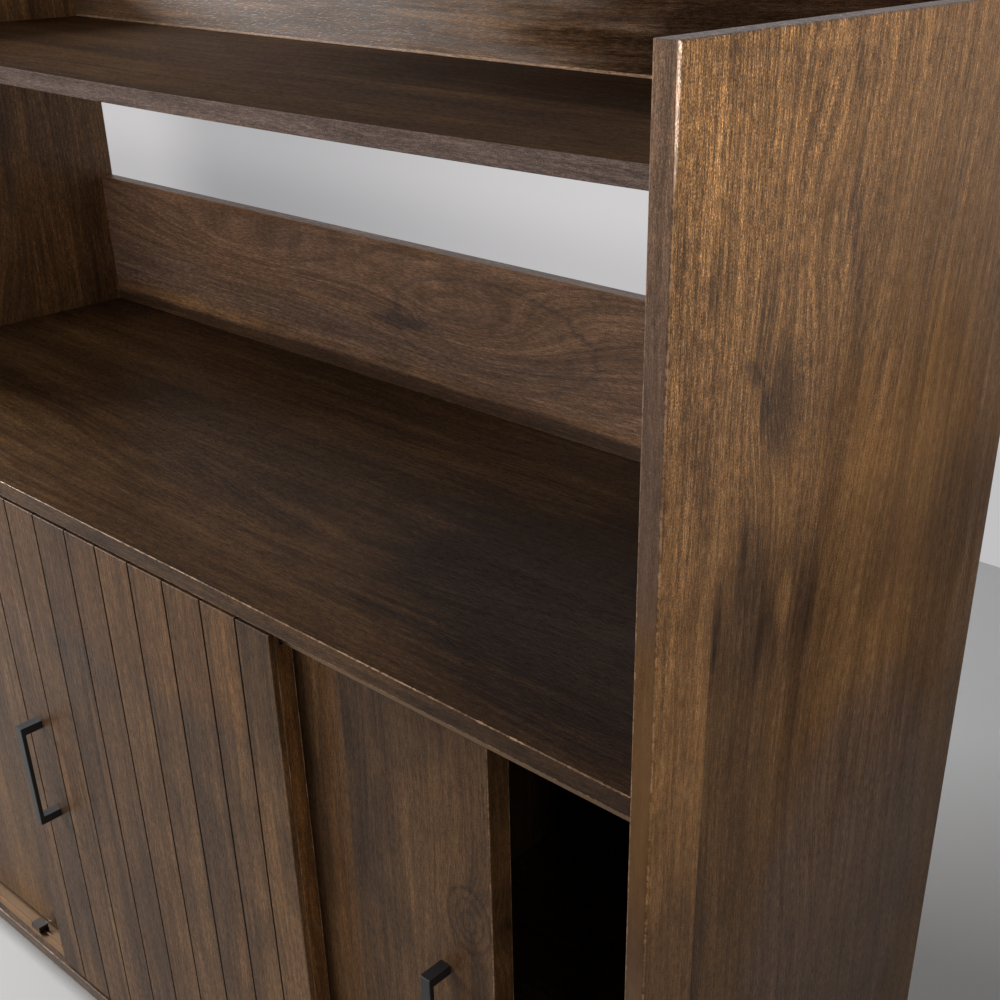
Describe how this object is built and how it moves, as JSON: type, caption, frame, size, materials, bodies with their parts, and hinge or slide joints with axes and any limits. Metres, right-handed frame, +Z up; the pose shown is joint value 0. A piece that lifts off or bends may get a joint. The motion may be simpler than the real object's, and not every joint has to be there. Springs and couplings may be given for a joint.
{
  "type": "bar cabinet",
  "caption": "Bar cabinet in dark wood: serving counter with back rail, set-back upper shelf, tall side panels, and sliding doors, the middle one faced with vertical boards.",
  "frame": {"origin": "middle of the footprint's bounding box, on the floor", "axes": "+X to the right seen from the front, +Y from the front to the back, +Z up"},
  "size_m": [1.4, 0.525, 1.3],
  "materials": {
    "case_wood": "dark walnut stain under satin lacquer, on hardwood boards",
    "door_wood": "dark walnut stain under satin lacquer, on glued hardwood planks",
    "slat_wood": "dark walnut stain under satin lacquer, each board a little different",
    "back_board": "stained plywood",
    "dowel_wood": "plain beech",
    "handle_metal": "black powder coat, satin",
    "screw_steel": "zinc plated steel",
    "rail_aluminium": "bronze anodised aluminium, satin",
    "track_plastic": "black plastic",
    "roller_nylon": "natural nylon",
    "bumper_rubber": "dark rubber",
    "glide_plastic": "dark brown plastic"
  },
  "bodies": {
    "case": {"left_side_panel": "case_wood", "right_side_panel": "case_wood", "counter_top": "case_wood", "counter_back_rail": "case_wood", "upper_shelf": "case_wood", "upper_back_rail": "case_wood", "bottom_board": "case_wood", "left_divider": "case_wood", "right_divider": "case_wood", "left_inner_shelf": "case_wood", "middle_inner_shelf": "case_wood", "right_inner_shelf": "case_wood", "front_plinth": "case_wood", "rear_plinth": "case_wood", "back_panel": "back_board", "back_panel_screws": "screw_steel", "shelf_pins": "screw_steel", "foot_glides": "glide_plastic", "dowels": "dowel_wood", "top_track": "rail_aluminium", "top_track_screws": "screw_steel", "rail_stops": "track_plastic", "bottom_rail": "rail_aluminium", "bottom_rail_screws": "screw_steel", "door_bumpers": "bumper_rubber"},
    "left_door": {"left_door": "door_wood", "left_door_handle": "handle_metal", "left_door_handle_screws": "screw_steel", "left_door_roller_housings": "track_plastic", "left_door_roller_axles": "screw_steel", "left_door_groove_liner": "track_plastic"},
    "left_door_left_roller": {"left_door_left_roller": "roller_nylon"},
    "left_door_right_roller": {"left_door_right_roller": "roller_nylon"},
    "middle_door": {"middle_door_backing": "door_wood", "middle_door_slat_01": "slat_wood", "middle_door_slat_02": "slat_wood", "middle_door_slat_03": "slat_wood", "middle_door_slat_04": "slat_wood", "middle_door_slat_05": "slat_wood", "middle_door_slat_06": "slat_wood", "middle_door_slat_07": "slat_wood", "middle_door_slat_08": "slat_wood", "middle_door_slat_09": "slat_wood", "middle_door_slat_10": "slat_wood", "middle_door_handle": "handle_metal", "middle_door_handle_screws": "screw_steel", "middle_door_roller_housings": "track_plastic", "middle_door_roller_axles": "screw_steel", "middle_door_groove_liner": "track_plastic"},
    "middle_door_left_roller": {"middle_door_left_roller": "roller_nylon"},
    "middle_door_right_roller": {"middle_door_right_roller": "roller_nylon"},
    "right_door": {"right_door": "door_wood", "right_door_handle": "handle_metal", "right_door_handle_screws": "screw_steel", "right_door_roller_housings": "track_plastic", "right_door_roller_axles": "screw_steel", "right_door_groove_liner": "track_plastic"},
    "right_door_left_roller": {"right_door_left_roller": "roller_nylon"},
    "right_door_right_roller": {"right_door_right_roller": "roller_nylon"}
  },
  "joints": [
    {"name": "left_door_slide", "type": "slide", "parent": "case", "child": "left_door", "axis": [1, 0, 0], "range_m": [0, 0.25]},
    {"name": "left_door_left_roller_spin", "type": "hinge", "parent": "left_door", "child": "left_door_left_roller", "pos_m": [-0.62, -0.195, 0.0802], "axis": [0, 1, 0], "range_deg": [-2, 1593.5]},
    {"name": "left_door_right_roller_spin", "type": "hinge", "parent": "left_door", "child": "left_door_right_roller", "pos_m": [-0.3195, -0.195, 0.0802], "axis": [0, 1, 0], "range_deg": [-2, 1593.5]},
    {"name": "middle_door_slide", "type": "slide", "parent": "case", "child": "middle_door", "axis": [1, 0, 0], "range_m": [-0.08, 0.08]},
    {"name": "middle_door_left_roller_spin", "type": "hinge", "parent": "middle_door", "child": "middle_door_left_roller", "pos_m": [-0.2175, -0.2205, 0.0802], "axis": [0, 1, 0], "range_deg": [-511.3, 511.3]},
    {"name": "middle_door_right_roller_spin", "type": "hinge", "parent": "middle_door", "child": "middle_door_right_roller", "pos_m": [0.2175, -0.2205, 0.0802], "axis": [0, 1, 0], "range_deg": [-511.3, 511.3]},
    {"name": "right_door_slide", "type": "slide", "parent": "case", "child": "right_door", "axis": [1, 0, 0], "range_m": [-0.084, 0.166]},
    {"name": "right_door_left_roller_spin", "type": "hinge", "parent": "right_door", "child": "right_door_left_roller", "pos_m": [0.1535, -0.195, 0.0802], "axis": [0, 1, 0], "range_deg": [-536.8, 1058.8]},
    {"name": "right_door_right_roller_spin", "type": "hinge", "parent": "right_door", "child": "right_door_right_roller", "pos_m": [0.454, -0.195, 0.0802], "axis": [0, 1, 0], "range_deg": [-536.8, 1058.8]}
  ],
  "couplings": [
    {"joint": "left_door_left_roller_spin", "follows": "left_door_slide", "rad_per_m": 111.11},
    {"joint": "left_door_right_roller_spin", "follows": "left_door_slide", "rad_per_m": 111.11},
    {"joint": "middle_door_left_roller_spin", "follows": "middle_door_slide", "rad_per_m": 111.11},
    {"joint": "middle_door_right_roller_spin", "follows": "middle_door_slide", "rad_per_m": 111.11},
    {"joint": "right_door_left_roller_spin", "follows": "right_door_slide", "rad_per_m": 111.11},
    {"joint": "right_door_right_roller_spin", "follows": "right_door_slide", "rad_per_m": 111.11}
  ]
}
